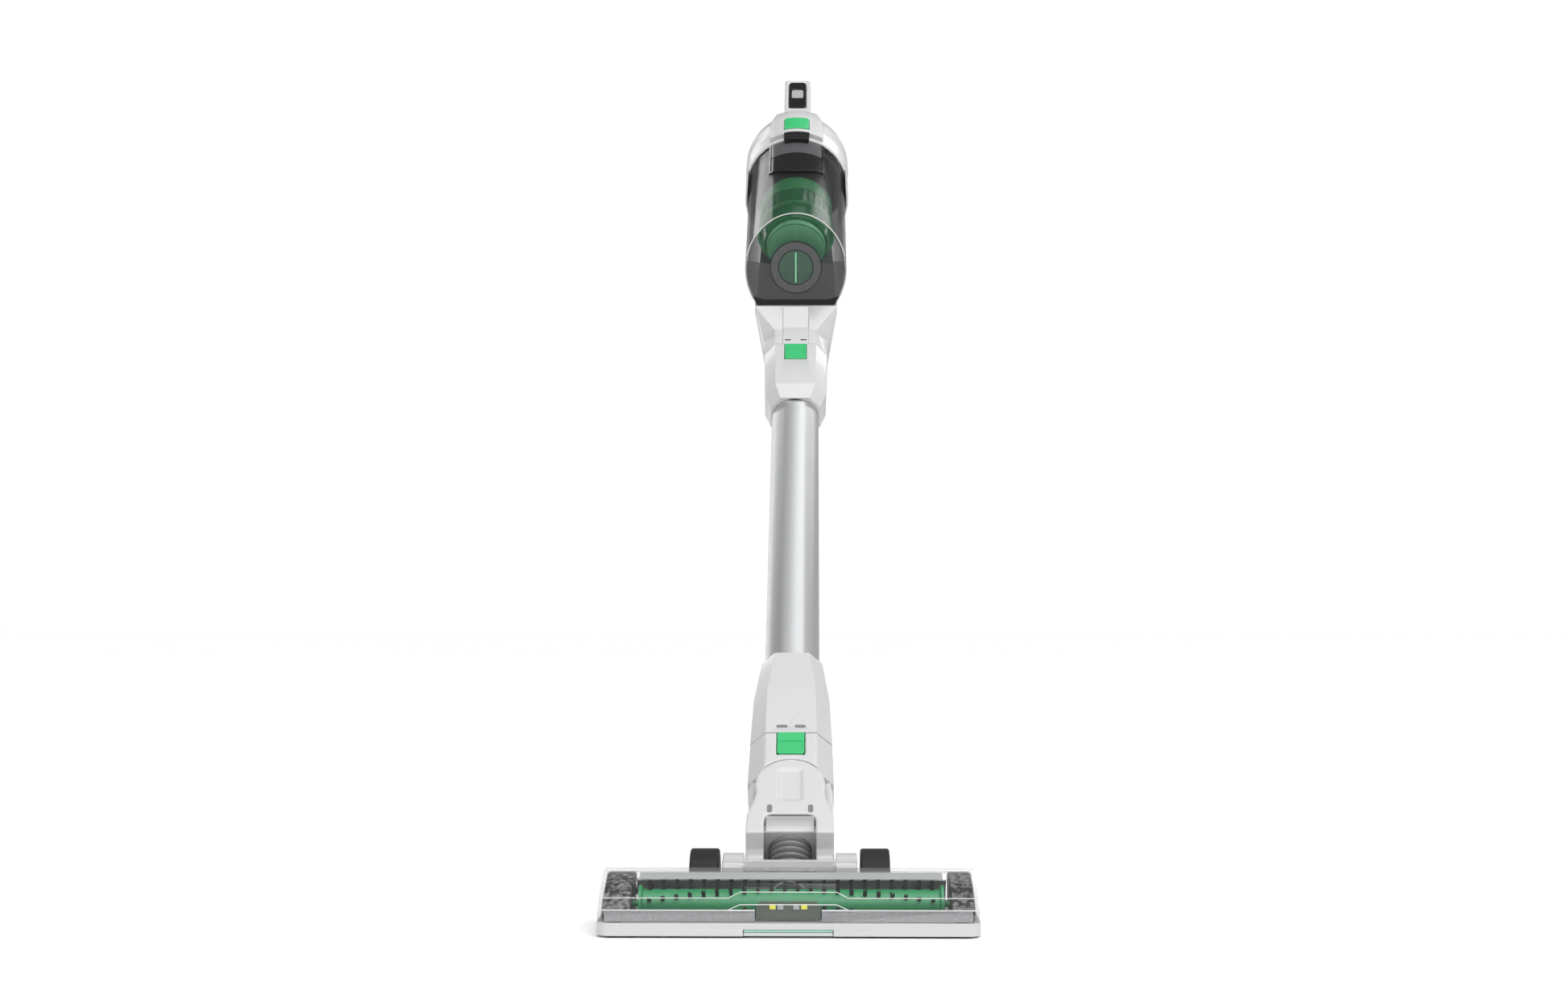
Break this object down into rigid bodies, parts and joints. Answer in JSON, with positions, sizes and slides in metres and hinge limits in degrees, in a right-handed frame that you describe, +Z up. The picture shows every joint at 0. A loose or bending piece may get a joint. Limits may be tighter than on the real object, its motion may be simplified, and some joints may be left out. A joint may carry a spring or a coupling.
{
  "type": "cordless stick vacuum",
  "caption": "Cordless stick vacuum with a lit floor head, brush roll, swivel neck, metal wand, clear dust bin and loop handle.",
  "frame": {"origin": "on the floor, at the middle of the glide strip under the floor head's sole", "axes": "+Z up, +Y from the head back towards the user, +X to the right when looking along +Y; the wand leans back in the YZ plane"},
  "size_m": [0.248, 0.9112, 0.7721],
  "materials": {
    "white_shell": "glossy injection-moulded ABS",
    "clear_cover": "clear polycarbonate with a faint grey tint",
    "smoked_clear": "smoked clear polycarbonate",
    "green_button": "satin ABS",
    "green_clear": "tinted clear plastic",
    "green_roll": "glossy tube",
    "bristle": "nylon tufts",
    "felt": "short-pile felt",
    "dark_plastic": "fine-textured ABS",
    "bin_trim": "smoked gloss trim",
    "rubber": "soft rubber",
    "wheel_black": "matte soft tread",
    "hose_grey": "flexible corrugated PVC",
    "steel": "turned steel",
    "duct_silver": "silver-grey plastic",
    "satin_tube": "satin anodised",
    "brass_contact": "plated",
    "board_green": "solder mask",
    "led_yellow": "phosphor lens",
    "display_black": "piano black",
    "button_grey": "satin grey",
    "filter_white": "pleated paper and foam",
    "cell_blue": "shrink sleeve"
  },
  "bodies": {
    "handset": {"duct_shell": "white_shell", "duct_cover": "white_shell", "motor_housing": "white_shell", "latch_plate": "white_shell", "handle_shell": "white_shell", "display_panel": "display_black", "control_board": "board_green", "suction_motor": "steel", "motor_mount": "rubber", "post_filter": "filter_white", "exhaust_grille": "dark_plastic"},
    "power_button": {"power_button": "button_grey"},
    "bin_button": {"bin_release_button": "green_button"},
    "impeller": {"impeller": "dark_plastic"},
    "dust_bin": {"bin_shell": "smoked_clear", "bin_window": "smoked_clear", "bin_panel": "bin_trim", "cyclone_shroud": "green_clear", "filter_frame": "dark_plastic", "pleated_filter": "filter_white"},
    "battery": {"battery_case": "dark_plastic", "battery_cells": "cell_blue"},
    "battery_button": {"battery_button": "green_button"},
    "wand": {"tube": "satin_tube", "lower_collar": "white_shell", "upper_collar": "white_shell", "contact_pins": "brass_contact"},
    "wand_button": {"wand_release_button": "green_button"},
    "swivel": {"swivel_socket": "white_shell"},
    "head_button": {"head_release_button": "green_button"},
    "neck": {"neck_front_shell": "white_shell", "neck_back_shell": "white_shell", "neck_ring": "white_shell", "hose": "hose_grey", "swivel_pins": "steel"},
    "floor_head": {"head_base": "white_shell", "head_cover": "clear_cover", "sole_plate": "dark_plastic", "intake_lens": "green_clear", "felt_strip": "felt", "glide_strip": "felt", "belt_housing": "dark_plastic", "bearing_housing": "dark_plastic", "roller_bay": "duct_silver", "suction_duct": "duct_silver", "roll_bearings": "steel", "brush_motor": "steel", "drive_belt": "rubber", "light_board": "board_green", "head_leds": "led_yellow", "hinge_frame": "white_shell", "hinge_pins": "steel", "wheel_axles": "steel"},
    "brush_roll": {"roll_core": "green_roll", "roll_bristles": "bristle"},
    "motor_pulley": {"motor_pulley": "dark_plastic"},
    "left_wheel": {"left_wheel": "wheel_black"},
    "right_wheel": {"right_wheel": "wheel_black"},
    "left_roller": {"left_roller": "wheel_black"},
    "right_roller": {"right_roller": "wheel_black"}
  },
  "joints": [
    {"name": "power_press", "type": "slide", "parent": "handset", "child": "power_button", "axis": [0, 0.6561, -0.7547], "range_m": [0, 0.0012], "stiffness_N_per_m": 900, "springref_m": -0.001},
    {"name": "bin_release", "type": "slide", "parent": "handset", "child": "bin_button", "axis": [0, 0.6561, -0.7547], "range_m": [0, 0.002], "stiffness_N_per_m": 900, "springref_m": -0.001},
    {"name": "bin_tilt", "type": "hinge", "parent": "handset", "child": "dust_bin", "pos_m": [0, 0.50092, 0.49715], "axis": [1, 0, 0], "range_deg": [0, 25]},
    {"name": "impeller_spin", "type": "hinge", "parent": "handset", "child": "impeller", "pos_m": [0, 0.62948, 0.64878], "axis": [0, 0.7547, 0.6561], "continuous": true},
    {"name": "battery_slide", "type": "slide", "parent": "handset", "child": "battery", "axis": [0, -0.7547, -0.6561], "range_m": [0, 0.05]},
    {"name": "battery_press", "type": "slide", "parent": "battery", "child": "battery_button", "axis": [0, -0.6561, 0.7547], "range_m": [0, 0.002], "stiffness_N_per_m": 900, "springref_m": -0.001},
    {"name": "wand_pull", "type": "slide", "parent": "handset", "child": "wand", "axis": [0, -0.7547, -0.6561], "range_m": [0, 0.022]},
    {"name": "wand_release", "type": "slide", "parent": "wand", "child": "wand_button", "axis": [0, 0.6561, -0.7547], "range_m": [0, 0.002], "stiffness_N_per_m": 900, "springref_m": -0.001},
    {"name": "head_pull", "type": "slide", "parent": "wand", "child": "swivel", "axis": [0, -0.7547, -0.6561], "range_m": [0, 0.022]},
    {"name": "head_release", "type": "slide", "parent": "swivel", "child": "head_button", "axis": [0, 0.6561, -0.7547], "range_m": [0, 0.002], "stiffness_N_per_m": 900, "springref_m": -0.001},
    {"name": "steer", "type": "hinge", "parent": "swivel", "child": "neck", "pos_m": [0, 0.06557, 0.06848], "axis": [0, -0.6561, 0.7547], "range_deg": [-35, 35]},
    {"name": "pitch", "type": "hinge", "parent": "neck", "child": "floor_head", "pos_m": [0, 0.019, 0.028], "axis": [1, 0, 0], "range_deg": [-40, 33], "deforming": ["hose"]},
    {"name": "brush_spin", "type": "hinge", "parent": "floor_head", "child": "brush_roll", "pos_m": [0, -0.036, 0.0169], "axis": [1, 0, 0], "continuous": true},
    {"name": "motor_spin", "type": "hinge", "parent": "floor_head", "child": "motor_pulley", "pos_m": [-0.11, -0.0138, 0.025], "axis": [1, 0, 0], "continuous": true},
    {"name": "left_wheel_spin", "type": "hinge", "parent": "floor_head", "child": "left_wheel", "pos_m": [-0.0584, 0.0202, 0.0232], "axis": [1, 0, 0], "continuous": true},
    {"name": "right_wheel_spin", "type": "hinge", "parent": "floor_head", "child": "right_wheel", "pos_m": [0.0584, 0.0202, 0.0232], "axis": [1, 0, 0], "continuous": true},
    {"name": "left_roller_spin", "type": "hinge", "parent": "floor_head", "child": "left_roller", "pos_m": [-0.112, -0.065, 0.005], "axis": [1, 0, 0], "continuous": true},
    {"name": "right_roller_spin", "type": "hinge", "parent": "floor_head", "child": "right_roller", "pos_m": [0.112, -0.065, 0.005], "axis": [1, 0, 0], "continuous": true}
  ],
  "couplings": [
    {"joint": "motor_spin", "follows": "brush_spin", "ratio": 2}
  ]
}
